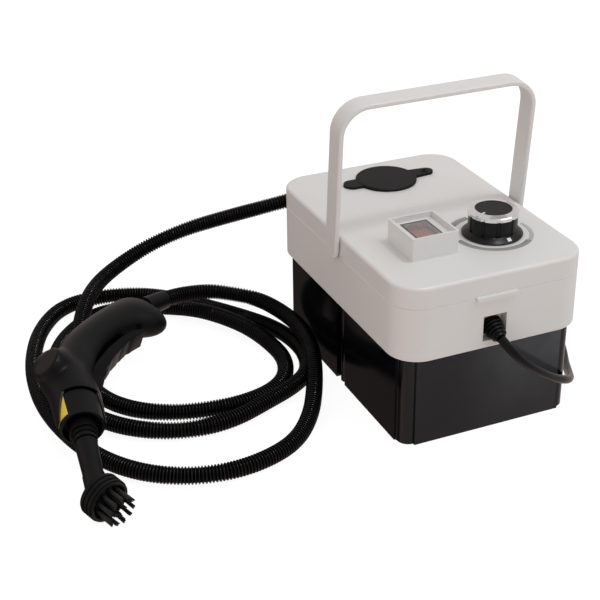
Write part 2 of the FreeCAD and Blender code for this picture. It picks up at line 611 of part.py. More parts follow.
def steam_pipe():
    return swept([(-36, 32, 112), (-36, 72, 110), (-36, 112, 106), (-28, 120.5, 105), (-7, 120.5, 105)],
                 3.0, "steam pipe", 1.8)


def circuit_board():
    board = box(-84, 26, -104, -42, 100, 101.6)
    parts = [box(-78, -58, -98, -70, 101.6, 116), box(-50, -34, -96, -80, 101.6, 121), box(4, 20, -98, -88, 101.6, 111),
             rod(V(-20, -92, 101.6), V(0, 0, 1), 5.5, 18), rod(V(-6, -92, 101.6), V(0, 0, 1), 4.0, 12)]
    return board.fuse(parts)


# ---- power cord -----------------------------------------------------------------------------
RELIEF_TIP = V(*CORD_ROUTE[0])


def strain_relief():
    """Stout ribbed boot that leans down out of the recess, with a collar behind the recess wall."""
    root = V(RELIEF.x, RELIEF.y - 1.0, RELIEF.z)
    along = RELIEF_TIP - root
    length = along.Length
    cone = Part.makeCone(8.2, 4.9, length, root, along)
    unit = V(along)
    unit.normalize()
    ribs = []
    for step, radius in ((1.6, 9.6), (4.9, 9.3), (8.2, 8.8), (11.5, 8.0), (14.8, 7.0)):
        ribs.append(rod(root + unit * step, unit, radius, 2.1))
    collar = rod(V(RELIEF.x, -121.4, RELIEF.z), V(0, 1, 0), 8.2, 2.4)
    neck = rod(V(RELIEF.x, -124.0, RELIEF.z), V(0, 1, 0), 5.2, 3.0)
    tail = rod(V(RELIEF.x, -119.4, RELIEF.z), V(0, 1, 0), 4.0, 12)
    relief = fused([cone, collar, neck, tail] + ribs)
    return relief.cut(box(-30, 30, -124.0, -121.5, 80, 130).cut(rod(V(RELIEF.x, -125, RELIEF.z), V(0, 1, 0), 5.25, 9)))


def terminal_block():
    block = box(-16, 12, -106.4, -104.6, FLOOR_TOP, 99)
    return block.fuse([box(x, x + 7.4, -109.6, -104.6, FLOOR_TOP, 98) for x in (-15.4, -5.7, 4.0)])


def power_cord():
    return swept(CORD_ROUTE, CORD_D / 2, "power cord")


def power_cord_coil():
    ring = spin([(COIL_R - COIL_SIDE, COIL_Z0), (COIL_R + COIL_SIDE, COIL_Z0), (COIL_R + COIL_SIDE, COIL_Z1),
                 (COIL_R - COIL_SIDE, COIL_Z1)], COIL)
    ring = ring.makeFillet(3.6, ring.Edges)
    tail = [(COIL.x + 6, COIL.y + 51.8, 12.6), (COIL.x - 14, COIL.y + 52.2, 13.0), (COIL.x - 36, COIL.y + 56, 15.8),
            tuple(PLUG_TAIL)]
    return ring.fuse(swept(tail, CORD_D / 2, "tail of the cord"))


def cord_tie():
    band = box(COIL.x - 3, COIL.x + 3, COIL.y - COIL_R - COIL_SIDE - 1.0, COIL.y - COIL_R + COIL_SIDE + 1.0,
               0.2, COIL_Z1 + 0.8)
    hole = box(COIL.x - 9, COIL.x + 9, COIL.y - COIL_R - COIL_SIDE - 0.1, COIL.y - COIL_R + COIL_SIDE + 0.1,
               0.9, COIL_Z1 + 0.1)
    return band.cut(hole)


PLUG_TAIL = V(68, COIL.y + 58, 17.5)


def power_plug():
    grip = Part.makeCone(5.6, 9.5, 22, PLUG_TAIL, V(-1, 0, 0))
    body = rod(V(PLUG_TAIL.x - 22, PLUG_TAIL.y, PLUG_TAIL.z), V(-1, 0, 0), 17.4, 20)
    body = body.makeFillet(2.0, body.Edges[:1])
    sides = box(-60, 60, PLUG_TAIL.y + 15.4, PLUG_TAIL.y + 30, 0, 60)
    return body.cut(sides).fuse(grip)


def plug_pins():
    face = V(PLUG_TAIL.x - 42, PLUG_TAIL.y, PLUG_TAIL.z)
    pins = [rod(face + V(0, 0, dz), V(-1, 0, 0), 2.4, 19) for dz in (-9.5, 9.5)]
    return Part.makeCompound([p.makeFillet(1.2, [p.Edges[0]]) for p in pins])


# ---- steam hose -----------------------------------------------------------------------------
def hose_fitting():
    block = box(-7, 7, 114, 130, 98, 112)
    nipple = rod(V(0, 126.5, OUTLET.z), V(0, 1, 0), 6.1, 30)
    return block.fuse(nipple).cut(rod(V(0, 118, OUTLET.z), V(0, 1, 0), 3.4, 60))


def hose_nut():
    points = [V(11.4 * math.cos(math.radians(60 * i)), 133, OUTLET.z + 11.4 * math.sin(math.radians(60 * i)))
              for i in range(6)]
    nut = Part.Face(Part.makePolygon(points + [points[0]])).extrude(V(0, 7, 0))
    return nut.cut(rod(V(0, 130, OUTLET.z), V(0, 1, 0), 6.15, 20))


def hose_cuff():
    cuff = Part.makeCone(12.0, 9.6, 28, V(0, 140, OUTLET.z), V(0, 1, 0))
    cuff = cuff.cut(rod(V(*HOSE_ROUTE[0]), V(*HOSE_ROUTE[1]) - V(*HOSE_ROUTE[0]), 16, 8))
    return cuff.cut(rod(V(0, 139, OUTLET.z), V(0, 1, 0), 6.2, 17.5))


def steam_hose():
    end = GUN.multVec(CUFF_END)
    before = GUN.multVec(CUFF_END + CUFF_ALONG * 15)
    return swept(HOSE_ROUTE + [tuple(before), tuple(end)], HOSE_D / 2, "steam hose")


# ---- steam gun, in its own axes ---------------------------------------------------------------
A = V(GUN_ALONG)
A.normalize()
B = V(GUN_SIDE)
B = B - A * A.dot(B)
B.normalize()
N = A.cross(B)
GUN = FreeCAD.Matrix(A.x, B.x, N.x, GUN_ORIGIN.x, A.y, B.y, N.y, GUN_ORIGIN.y, A.z, B.z, N.z, GUN_ORIGIN.z)


def placed(shape):
    moved = shape.copy()
    moved.transformShape(GUN)
    return moved


def oval(centre, normal, side, flank):
    """Elliptic section; side is its half-size in the gun's plane, flank across it."""
    normal = V(normal)
    normal.normalize()
    across = V(0, 0, 1).cross(normal)
    centre = V(*centre)
    if side >= flank:
        shape = Part.Ellipse(centre + across * side, centre + V(0, 0, 1) * flank, centre)
    else:
        shape = Part.Ellipse(centre + V(0, 0, 1) * flank, centre + across * side, centre)
    return Part.Wire(shape.toShape())


GRIP_ALONG = V(-0.735, 0.678, 0)
GRIP_ACROSS = V(0.678, 0.735, 0)
# Sections as (distance along, offset across, half-size in the gun's plane, half-size across it).
BARREL = [(-68, -6, 13, 10), (-60, -7, 22, 16), (-44, -6, 26.5, 20), (-22, -2, 23, 20.5), (0, 0, 20.6, 20.6)]
GRIP = [(30, -25, 23, 19.5), (55, -36, 21, 18.5), (85, -41, 20, 18), (115, -41, 20, 17.5), (138, -36, 24, 17),
        (154, -30, 28, 16.5), (168, -29, 22, 11)]


def grip_centre(along, across):
    return GRIP_ALONG * along + GRIP_ACROSS * across


def gun_form(shrink):
    barrel = [oval((u, v, 0), (1, 0, 0), side - shrink, flank - shrink) for u, v, side, flank in BARREL]
    grip = []
    for along, across, side, flank in GRIP:
        centre = grip_centre(min(along, 168 - shrink), across)
        grip.append(oval(tuple(centre), tuple(GRIP_ALONG), side - shrink, flank - shrink))
    return Part.makeLoft(barrel, True, False), Part.makeLoft(grip, True, False)


def turned(shape, degrees):
    moved = shape.copy()
    moved.rotate(V(TRIGGER_PIN[0], TRIGGER_PIN[1], 0), V(0, 0, 1), degrees)
    return moved


TRIGGER_OUTLINE = [(-12, 19), (-13.5, 23.4), (-22, 26.2), (-44, 33.6), (-61, 43.6), (-80, 58), (-92, 70.4),
                   (-99, 79), (-103.5, 79), (-102.5, 71), (-90, 55), (-72, 39), (-53, 26), (-36, 17), (-22, 12),
                   (-14, 13)]


def trigger_form(half, grow=0.0):
    lever = prism(TRIGGER_OUTLINE, -half, 2 * half)
    if not grow:
        return round_edges(lever, 1.2, lambda b: b.ZLength < 0.1 and b.YMax > 28)
    middle = lever.BoundBox.Center
    bigger = FreeCAD.Matrix()
    bigger.move(V(0, 0, 0) - middle)
    bigger.scale(V(1 + grow / 40, 1 + grow / 26, 1))
    bigger.move(middle)
    return lever.transformGeometry(bigger)


def trigger_boss():
    u, v = TRIGGER_PIN
    return rod(V(u, v, -10.5), V(0, 0, 1), 3.0, 21.0)


CUFF_FROM = grip_centre(156, -38.5)
CUFF_ALONG = GRIP_ALONG * 0.972 + GRIP_ACROSS * 0.235


def gun_shells():
    barrel, grip = gun_form(0)
    barrel_in, grip_in = gun_form(2.5)
    solid = barrel.fuse(grip)
    shell = solid.cut(barrel_in.fuse(grip_in))
    slot = trigger_form(9.6, 1.6)
    shell = shell.cut(fused([slot, turned(slot, TRIGGER_TRAVEL), turned(slot, TRIGGER_TRAVEL / 2)]))
    cheeks = box(-32, -6, 8, 26, 9.6, 13).fuse(box(-32, -6, 8, 26, -13, -9.6))
    shell = shell.fuse(cheeks.common(solid)).fuse(trigger_boss())
    shell = shell.cut(rod(CUFF_FROM, CUFF_ALONG, 8.45, 30))
    upper = shell.common(box(-220, 60, -80, 160, 0.05, 60))
    lower = shell.common(box(-220, 60, -80, 160, -60, -0.05))
    return upper, lower


def gun_shell_upper():
    return gun_shells()[0]


def gun_shell_lower():
    return gun_shells()[1]


def gun_trigger():
    lever = trigger_form(9.0)
    u, v = TRIGGER_PIN
    lever = lever.cut(rod(V(u, v, -20), V(0, 0, 1), 3.0 + RUN_FIT, 40))
    lever = lever.cut(rod(V(u, v, -3.6), V(0, 0, 1), 5.6, 7.2))
    return lever.cut(box(u - 16, u, v - 8, v - 1.8, -1.4, 1.4))


def trigger_spring():
    u, v = TRIGGER_PIN
    coil = tube(V(u, v, -3.2), V(0, 0, 1), 4.9, 3.25, 6.4)
    return coil.fuse(box(u - 14, u, v - 4.9, v - 3.9, -0.6, 0.6).cut(rod(V(u, v, -5), V(0, 0, 1), 3.25, 10)))


def gun_microswitch():
    return box(-62, -46, -6, 4, -5, 5).fuse(rod(V(-54, 3.5, 0), V(0, 1, 0), 1.4, 2.5))


def gun_steam_tube():
    start = tuple(CUFF_FROM + CUFF_ALONG * 3)
    after = tuple(CUFF_FROM - CUFF_ALONG * 9)
    return swept([start, after, (-118, 47, 0), (-96, 25, -2), (-72, 2, -8), (-44, -12, -9), (-24, -3, -1), (-7.9, 0, 0)],
                 3.0, "gun steam tube", 1.8)


CUFF_END = CUFF_FROM + CUFF_ALONG * 45.0


def gun_hose_cuff():
    root = rod(CUFF_FROM, CUFF_ALONG, 8.4, 18)
    cuff = root.fuse(Part.makeCone(10.4, 9.0, 27.4, CUFF_FROM + CUFF_ALONG * 17.6, CUFF_ALONG))
    return cuff.cut(rod(CUFF_FROM - CUFF_ALONG, CUFF_ALONG, 3.05, 20))


def barrel_sleeve():
    sleeve = rod(V(0, 0, 0), V(1, 0, 0), 19.4, 2.0)
    sleeve = sleeve.fuse(Part.makeCone(20.4, 19.5, 28.4, V(2.0, 0, 0), V(1, 0, 0)))
    sleeve = sleeve.cut(rod(V(-1, 0, 0), V(1, 0, 0), 15.1, 40))
    return sleeve.cut(rod(V(21, 0, 0), V(1, 0, 0), 17.2, 20))


def nozzle_adapter():
    steps = [rod(V(-8, 0, 0), V(1, 0, 0), 12.0, 2.4), rod(V(-5.8, 0, 0), V(1, 0, 0), 16.4, 5.6),
             rod(V(-1, 0, 0), V(1, 0, 0), 15.1, 22),
             rod(V(20, 0, 0), V(1, 0, 0), 12.4, 18), rod(V(38, 0, 0), V(1, 0, 0), 10.6, 4),
             rod(V(42, 0, 0), V(1, 0, 0), 9.4, 3), rod(V(45, 0, 0), V(1, 0, 0), 10.4, 3),
             rod(V(48, 0, 0), V(1, 0, 0), 6.0, 14)]
    return fused(steps).cut(rod(V(-9, 0, 0), V(1, 0, 0), 3.2, 80))


NOZZLE_END = 88.0


def nozzle_tube():
    cone = Part.makeCone(9.8, 8.8, NOZZLE_END - 50, V(50, 0, 0), V(1, 0, 0))
    cone = cone.fuse(rod(V(NOZZLE_END, 0, 0), V(1, 0, 0), 6.0, 14))
    return cone.cut(rod(V(49, 0, 0), V(1, 0, 0), 6.05, 13)).cut(rod(V(50, 0, 0), V(1, 0, 0), 3.2, 70))


BRUSH_AXIS = V(0.863, 0.482, 0.134)
BRUSH_RIM = V(121, 7.6, 2.2)
BRUSH_R = 19.4


def brush_head():
    axis = V(BRUSH_AXIS)
    axis.normalize()
    back = BRUSH_RIM - axis * 15.0
    cup = rod(back, axis, BRUSH_R - 0.8, 15)
    ridges = [rod(BRUSH_RIM - axis * (13.4 - 4.4 * i), axis, BRUSH_R, 2.4) for i in range(3)]
    neck = Part.makeLoft([Part.Wire(Part.Circle(V(NOZZLE_END + 15, 0, 0), V(1, 0, 0), 9.4).toShape()),
                          Part.Wire(Part.Circle(back, axis, BRUSH_R - 2.4).toShape())], True, True)
    head = fused([cup, neck] + ridges)
    head = head.fuse(rod(V(NOZZLE_END + 0.3, 0, 0), V(1, 0, 0), 9.4, 15))
    head = head.cut(rod(BRUSH_RIM - axis * 8, axis, BRUSH_R - 3.2, 20))
    return head.cut(rod(V(NOZZLE_END - 2, 0, 0), V(1, 0, 0), 6.08, 17))


def brush_tufts():
    axis = V(BRUSH_AXIS)
    axis.normalize()
    side = axis.cross(V(0, 0, 1))
    side.normalize()
    up = side.cross(axis)
    tufts = []
    for count, ring, length in ((11, 12.6, 24.0), (5, 5.6, 22.0)):
        for i in range(count):
            angle = 2 * math.pi * (i + 0.5) / count
            spot = side * (ring * math.cos(angle)) + up * (ring * math.sin(angle))
            tufts.append(rod(BRUSH_RIM - axis * 8 + spot, axis, 1.7, length))
    return Part.makeCompound(tufts)


def gun_label():
    """Plain coloured patch let into the side of the sleeve."""
    outside = Part.makeCone(20.7, 19.8, 28.4, V(2.0, 0, 0), V(1, 0, 0))
    inside = Part.makeCone(20.4, 19.5, 28.4, V(2.0, 0, 0), V(1, 0, 0))
    return outside.cut(inside).common(box(4, 27, -30, -10, -4, 13))


# ---- write every node ------------------------------------------------------------------------
NODES = [
    water_tank, tank_gasket, tank_screws, lower_housing, top_cover, cover_screws, bail_handle, handle_retainers,
    switch_hood, switch_body, rocker, splash_cover, knob_body, knob_ring, knob_disc, knob_pointer, pot_body,
    pot_nut, pot_shaft, dial_marks, filler_cap, cap_strap, cap_stud, filler_neck, neck_seal, boiler_block,
    heater_loop, thermostats, pump_coil, pump_body, pump_mounts, suction_tube, strainer, feed_tube, steam_pipe,
    circuit_board, strain_relief, terminal_block, power_cord, power_cord_coil, cord_tie, power_plug, plug_pins,
    hose_fitting, hose_nut, hose_cuff, steam_hose,
]
GUN_NODES = [
    gun_shell_upper, gun_shell_lower, gun_trigger, trigger_spring, gun_microswitch, gun_steam_tube,
    gun_hose_cuff, barrel_sleeve, gun_label, nozzle_adapter, nozzle_tube, brush_head, brush_tufts,
]
for make in NODES:
    save(make.__name__, make())
for make in GUN_NODES:
    save(make.__name__, placed(make()))
print("nodes:", len(NODES) + len(GUN_NODES))
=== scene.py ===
"""Looks of a portable steam cleaner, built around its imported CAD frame.  Metres, +Z up."""
import math
import random

import bmesh
import bpy
import numpy as np
from mathutils import Matrix, Vector


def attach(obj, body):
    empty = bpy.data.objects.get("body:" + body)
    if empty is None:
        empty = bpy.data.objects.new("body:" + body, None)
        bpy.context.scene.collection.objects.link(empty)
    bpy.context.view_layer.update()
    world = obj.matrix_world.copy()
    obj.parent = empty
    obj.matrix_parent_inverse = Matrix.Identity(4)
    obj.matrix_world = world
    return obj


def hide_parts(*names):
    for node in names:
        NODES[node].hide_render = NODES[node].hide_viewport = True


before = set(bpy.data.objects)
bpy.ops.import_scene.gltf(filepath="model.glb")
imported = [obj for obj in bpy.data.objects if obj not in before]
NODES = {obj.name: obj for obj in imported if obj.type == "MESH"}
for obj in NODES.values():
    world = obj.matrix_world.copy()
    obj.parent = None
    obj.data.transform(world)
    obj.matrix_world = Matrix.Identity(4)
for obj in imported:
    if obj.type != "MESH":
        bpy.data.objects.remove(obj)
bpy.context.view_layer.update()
MM = 0.001
scene = bpy.context.scene

# ---- routes of the hose and the cord, in millimetres -------------------------------------------
HOSE_ROUTE = [
    (0, 168, 105), (-3, 196, 104), (-34, 209, 98), (-71, 224, 87), (-107, 244, 74),
    (-146, 263, 60), (-188, 270, 45), (-228, 260, 32), (-256, 237, 28), (-277, 202, 28),
    (-295, 165, 18), (-307, 125, 9), (-311, 85, 7.9), (-303, 46, 7.9), (-283, 18, 7.9),
    (-254, 0, 7.9), (-221, -9, 7.9), (-188, -11, 7.9), (-157, -3, 7.9), (-135, 16, 7.9),
    (-123, 47, 7.9), (-124, 79, 7.9), (-134, 110, 12), (-149, 140, 13), (-170, 172, 12),
    (-200, 199, 7.9), (-233, 213, 7.9), (-266, 211, 7.9), (-293, 191, 7.9), (-315, 165, 7.9),
    (-331, 129, 7.9), (-337, 87, 7.9), (-330, 42, 7.9), (-309, 4, 7.9), (-279, -22, 7.9),
    (-244, -35, 7.9), (-206, -33, 7.9), (-169, -19, 9), (-137, -4, 7.9), (-113, 14, 7.9),
    (-101, 46, 7.9), (-101, 80, 7.9), (-110, 112, 7.9), (-128, 143, 7.9), (-150, 174, 7.9),
    (-176, 207, 7.9), (-209, 236, 7.9), (-252, 249, 7.9), (-293, 242, 7.9), (-324, 205, 7.9),
    (-344, 157, 7.9), (-355, 108, 7.9), (-358, 56, 7.9), (-351, 6, 7.9), (-336, -40, 7.9),
    (-311, -76, 7.9), (-277, -99, 7.9), (-240, -108, 7.9), (-204, -104, 7.9), (-170, -89, 7.9),
    (-143, -59, 9), (-125, -28, 15), (-111, 4, 24), (-101, 36, 25), (-96, 71, 25), (-100, 106, 25),
    (-113, 136, 28), (-136, 149, 33), (-161, 158, 38),
]
CORD_ROUTE = [
    (-1, -142, 98.8), (4, -150, 90.5), (17, -152, 76), (38, -148, 58.5), (59, -141, 43), (77.5, -132.5, 32),
    (93.5, -116.5, 21), (107, -94.5, 12), (120, -70, 6), (134.5, -44, 4.5), (148, -14, 4), (159, 20, 4),
    (168, 62, 4), (174, 108, 4), (177, 155, 4.4), (178.2, 200, 5.2),
]
CORD_D = 8.0
HOSE_PITCH = 2.9              # from one rib of the hose to the next

# ---- the wound rest of the power cord, in millimetres ------------------------------------------
COIL = (126.0, 232.0)         # middle of the ring, seen from above
COIL_STEPS = 16               # points in one turn
FLOOR_TURNS = (52.2, 44.1, 36.0)
UPPER_TURNS = (40.0, 48.2)
FLOOR_LAYER = 5.2
UPPER_LAYER = 13.0
LAST_LAYER = 12.9
SHIFT_STARTS = 0.70           # part of a turn after which it moves to the next one's radius
SHIFT_EARLIER = 0.12          # the climb to the upper layer starts this much sooner
SHIFT_LASTS = 0.25
PLUG_TAIL = (68.0, COIL[1] + 58.0, 17.5)

# The steam gun's own axes: along the barrel, towards the trigger, out of its upper flank.
GUN_O = Vector((-340.5, -1.7, 40.0))
GUN_A = Vector((-0.1261, -0.9744, -0.1862)).normalized()
GUN_B = Vector((0.9643, -0.0765, -0.2535))
GUN_B = (GUN_B - GUN_A * GUN_A.dot(GUN_B)).normalized()
GUN_N = GUN_A.cross(GUN_B)
GRIP_ALONG = Vector((-0.735, 0.678, 0))
GRIP_ACROSS = Vector((0.678, 0.735, 0))
CUFF_FROM = GRIP_ALONG * 156 - GRIP_ACROSS * 38.5
CUFF_ALONG = GRIP_ALONG * 0.972 + GRIP_ACROSS * 0.235
CUFF_REACH = 45               # where the hose ends inside the cuff
CUFF_LEAD = 15                # how far before its end the hose lines up with the cuff


def gun_world(p):
    """A point of the gun's own axes, in millimetres, to the row frame in metres."""
    return (GUN_O + GUN_A * p[0] + GUN_B * p[1] + GUN_N * p[2]) * MM


# ---- materials -----------------------------------------------------------------------------------
COAT_ROUGHNESS = 0.12
DRIFT_SCALE = 14.0            # of the slow change of colour and gloss
DRIFT_DETAIL = 5.0
GRAIN_DETAIL = 3.0
GRAIN_DEPTH = 0.0002


def material(name, color, rough, bump=0.0, scale=900.0, metal=0.0, coat=0.0, vary=0.06, spec=0.5,
             transmission=0.0, ior=1.5, sss=0.0, emit=None, rough_vary=0.06):
    """A moulded or worked surface: slight colour drift, uneven gloss and a fine grain."""
    mat = bpy.data.materials.new(name)
    mat.use_nodes = True
    nt = mat.node_tree
    shader = nt.nodes["Principled BSDF"]
    put = shader.inputs
    put["Metallic"].default_value = metal
    put["Coat Weight"].default_value = coat
    put["Coat Roughness"].default_value = COAT_ROUGHNESS
    put["Specular IOR Level"].default_value = spec
    put["IOR"].default_value = ior
    put["Transmission Weight"].default_value = transmission
    if sss:
        put["Subsurface Weight"].default_value = sss
        put["Subsurface Radius"].default_value = (0.004, 0.003, 0.002)
        put["Subsurface Scale"].default_value = 1.0
    if emit:
        put["Emission Color"].default_value = (*emit[0], 1)
        put["Emission Strength"].default_value = emit[1]
    where = nt.nodes.new("ShaderNodeTexCoord")
    drift = nt.nodes.new("ShaderNodeTexNoise")
    drift.inputs["Scale"].default_value = DRIFT_SCALE
    drift.inputs["Detail"].default_value = DRIFT_DETAIL
    nt.links.new(where.outputs["Object"], drift.inputs["Vector"])
    ramp = nt.nodes.new("ShaderNodeValToRGB")
    ramp.color_ramp.elements[0].position = 0.3
    ramp.color_ramp.elements[1].position = 0.7
    ramp.color_ramp.elements[0].color = (*[c * (1 - vary) for c in color], 1)
    ramp.color_ramp.elements[1].color = (*[min(1, c * (1 + vary)) for c in color], 1)
    nt.links.new(drift.outputs["Fac"], ramp.inputs["Fac"])
    nt.links.new(ramp.outputs["Color"], put["Base Color"])
    smear = nt.nodes.new("ShaderNodeMapRange")
    smear.inputs["To Min"].default_value = max(0.02, rough - rough_vary)
    smear.inputs["To Max"].default_value = min(1.0, rough + rough_vary)
    nt.links.new(drift.outputs["Fac"], smear.inputs["Value"])
    nt.links.new(smear.outputs["Result"], put["Roughness"])
    if bump:
        grain = nt.nodes.new("ShaderNodeTexNoise")
        grain.inputs["Scale"].default_value = scale
        grain.inputs["Detail"].default_value = GRAIN_DETAIL
        nt.links.new(where.outputs["Object"], grain.inputs["Vector"])
        raise_ = nt.nodes.new("ShaderNodeBump")
        raise_.inputs["Strength"].default_value = bump
        raise_.inputs["Distance"].default_value = GRAIN_DEPTH
        nt.links.new(grain.outputs["Fac"], raise_.inputs["Height"])
        nt.links.new(raise_.outputs["Normal"], put["Normal"])
    return mat


MAT = {
    "white": material("moulded_white", (0.775, 0.772, 0.762), 0.38, bump=0.25, scale=1400, vary=0.012,
                      sss=0.04),
    # smoked tank plastic; paint_tank_glow adds painted light (an emitted glow) to it
    "smoked": material("tinted_plastic_painted_glow", (0.003, 0.003, 0.0045), 0.14, bump=0.05, scale=300, vary=0.15,
                       spec=0.28, rough_vary=0.05),
    "black": material("black_moulding", (0.0032, 0.0032, 0.0035), 0.40, bump=0.5, scale=1800, vary=0.2,
                      spec=0.13),
    "knob_black": material("knob_black", (0.006, 0.006, 0.0065), 0.33, bump=0.2, scale=900, vary=0.15,
                           spec=0.22),
    "gloss_black": material("glossy_black", (0.004, 0.004, 0.0044), 0.24, bump=0.05, scale=500, vary=0.1,
                            spec=0.11),
    "hose": material("hose_black", (0.0020, 0.0020, 0.0023), 0.18, bump=0.1, scale=700, vary=0.2, spec=0.2),
    # hose grooves: darker and less glossy than the ribs, as painted shade in the hollows between them
    "hose_groove_shade": material("hose_groove_shade", (0.0006, 0.0006, 0.0007), 0.5, vary=0.2, spec=0.03),
    # trigger: darker and less glossy than the black moulding, as painted shade on the trigger
    "trigger": material("trigger_painted_shade_black", (0.0016, 0.0016, 0.0018), 0.42, bump=0.3, scale=1800, vary=0.2,
                        spec=0.08),
    "rubber": material("black_rubber", (0.006, 0.006, 0.0065), 0.55, bump=0.5, scale=1500, vary=0.15,
                       spec=0.15),
    "cord": material("cord_sheath", (0.003, 0.003, 0.0035), 0.28, bump=0.2, scale=900, vary=0.15,
                     spec=0.15),
    "red": material("lit_red", (0.40, 0.035, 0.03), 0.3, vary=0.1, emit=((1.0, 0.12, 0.06), 0.06)),
    "clear": material("clear_cover", (0.85, 0.82, 0.80), 0.12, vary=0.03, transmission=0.9, ior=1.45),
    "chrome": material("chrome", (0.82, 0.82, 0.84), 0.09, vary=0.02, metal=1.0, rough_vary=0.03),
    "steel": material("steel", (0.55, 0.55, 0.57), 0.32, bump=0.2, scale=700, vary=0.05, metal=1.0),
    "brass": material("brass", (0.70, 0.52, 0.25), 0.3, bump=0.2, scale=700, vary=0.06, metal=1.0),
    "aluminium": material("cast_aluminium", (0.62, 0.62, 0.64), 0.5, bump=0.8, scale=500, vary=0.06,
                          metal=1.0),
    "silicone": material("silicone", (0.66, 0.66, 0.62), 0.35, bump=0.1, vary=0.03, sss=0.2),
    "board": material("board_green", (0.03, 0.17, 0.07), 0.4, bump=0.3, scale=1200, vary=0.1),
    "varnish": material("wound_coil", (0.05, 0.045, 0.045), 0.35, bump=0.5, scale=900, vary=0.2),
    "ink_black": material("printed_black", (0.02, 0.02, 0.02), 0.5, vary=0.1),
    # plain white for knob_pointer: the pointer line and a small mark on the knob's skirt
    "knob_white": material("knob_marks_white", (0.8, 0.8, 0.78), 0.45, vary=0.03),
    "yellow": material("plain_label", (0.85, 0.60, 0.03), 0.35, bump=0.1, vary=0.05, coat=0.3),
    "bristle": material("bristle", (0.012, 0.012, 0.012), 0.4, bump=0.8, scale=2500, vary=0.3),
}
DRESS = {
    "white": "lower_housing top_cover bail_handle switch_hood filler_neck strainer terminal_block",
    "smoked": "water_tank",
    "black": "strain_relief switch_body pot_body thermostats pump_body hose_cuff gun_shell_upper "
             "gun_shell_lower gun_trigger gun_microswitch gun_hose_cuff barrel_sleeve nozzle_adapter "
             "nozzle_tube brush_head cord_tie",
    "knob_black": "knob_body",
    "gloss_black": "knob_disc",
    "rubber": "tank_gasket filler_cap cap_strap cap_stud pump_mounts power_plug",
    "cord": "power_cord power_cord_coil",
    "hose": "steam_hose",
    "red": "rocker",
    "clear": "splash_cover",
    "chrome": "knob_ring",
    "steel": "tank_screws cover_screws handle_retainers pot_shaft heater_loop trigger_spring",
    "brass": "pot_nut hose_fitting hose_nut plug_pins",
    "aluminium": "boiler_block",
    "silicone": "neck_seal suction_tube feed_tube steam_pipe gun_steam_tube",
    "board": "circuit_board",
    "varnish": "pump_coil",
    "ink_black": "dial_marks",
    # knob_pointer holds the pointer line and a small white mark on the knob's skirt
    "knob_white": "knob_pointer",
    "yellow": "gun_label",
    "bristle": "brush_tufts",
}


# Painted light on the tank: colour, strength and mask of an emitted glow on its front wall.
GLOW_COLOUR = (0.92, 0.92, 1.0)
GLOW_STRENGTH = 0.046
CLOUD_SCALE = 26.0
CLOUD_DETAIL = 2.0
# low, high, glow at low, glow at high: places in metres, and the last one in the cloud's own noise
GLOW_ACROSS = (-0.05, 0.07, 0.12, 1.0)
GLOW_UP = (0.0, 0.085, 0.25, 1.0)
GLOW_FRONT_ONLY = (-0.122, -0.126, 0.0, 1.0)
GLOW_AT_POST = (0.0705, 0.0720, 1.0, 0.06)
GLOW_CLOUD = (0.3, 0.7, 0.75, 1.15)


def paint_tank_glow(mat):
    """Painted light: a faint emitted glow on the tank's front wall for light coming through it, most at its
    upper right.
    """
    nt = mat.node_tree
    put = nt.nodes["Principled BSDF"].inputs
    where = nt.nodes.new("ShaderNodeNewGeometry")
    split = nt.nodes.new("ShaderNodeSeparateXYZ")
    nt.links.new(where.outputs["Position"], split.inputs[0])

    def span(source, limits):
        node = nt.nodes.new("ShaderNodeMapRange")
        node.interpolation_type = "SMOOTHSTEP"
        for socket, value in enumerate(limits, 1):
            node.inputs[socket].default_value = value
        nt.links.new(source, node.inputs[0])
        return node.outputs["Result"]

    def times(a, b):
        node = nt.nodes.new("ShaderNodeMath")
        node.operation = "MULTIPLY"
        nt.links.new(a, node.inputs[0])
        nt.links.new(b, node.inputs[1])
        return node.outputs[0]

    cloud = nt.nodes.new("ShaderNodeTexNoise")
    cloud.inputs["Scale"].default_value = CLOUD_SCALE
    cloud.inputs["Detail"].default_value = CLOUD_DETAIL
    nt.links.new(where.outputs["Position"], cloud.inputs["Vector"])
    glow = times(span(split.outputs["X"], GLOW_ACROSS), span(split.outputs["Z"], GLOW_UP))
    glow = times(glow, span(split.outputs["Y"], GLOW_FRONT_ONLY))
    glow = times(glow, span(split.outputs["X"], GLOW_AT_POST))
    glow = times(glow, span(cloud.outputs["Fac"], GLOW_CLOUD))
    put["Emission Color"].default_value = (*GLOW_COLOUR, 1)
    strength = nt.nodes.new("ShaderNodeMath")
    strength.operation = "MULTIPLY"
    strength.inputs[1].default_value = GLOW_STRENGTH
    nt.links.new(glow, strength.inputs[0])
    nt.links.new(strength.outputs[0], put["Emission Strength"])


# The tank's material gets its painted glow.
paint_tank_glow(MAT["smoked"])


def wear(obj, key):
    """Give a piece one material in place of what it came with."""
    obj.data.materials.clear()
    obj.data.materials.append(MAT[key])


for key, names in DRESS.items():
    for node in names.split():
        wear(NODES[node], key)


# ---- cords -----------------------------------------------------------------------------------------
def nurbs(name, points, thick=0.0):
    """A smooth open curve whose control points are the route's points."""
    data = bpy.data.curves.new(name, "CURVE")
    data.dimensions = "3D"
    data.resolution_u = 10
    spline = data.splines.new("NURBS")
    spline.points.add(len(points) - 1)
    for point, place in zip(spline.points, points):
        point.co = (place[0] * MM, place[1] * MM, place[2] * MM, 1)
    spline.order_u = 3
    spline.use_endpoint_u = True
    if thick:
        data.bevel_depth = thick / 2 * MM
        data.bevel_resolution = 5
        data.use_fill_caps = True
    obj = bpy.data.objects.new(name, data)
    scene.collection.objects.link(obj)
    return obj


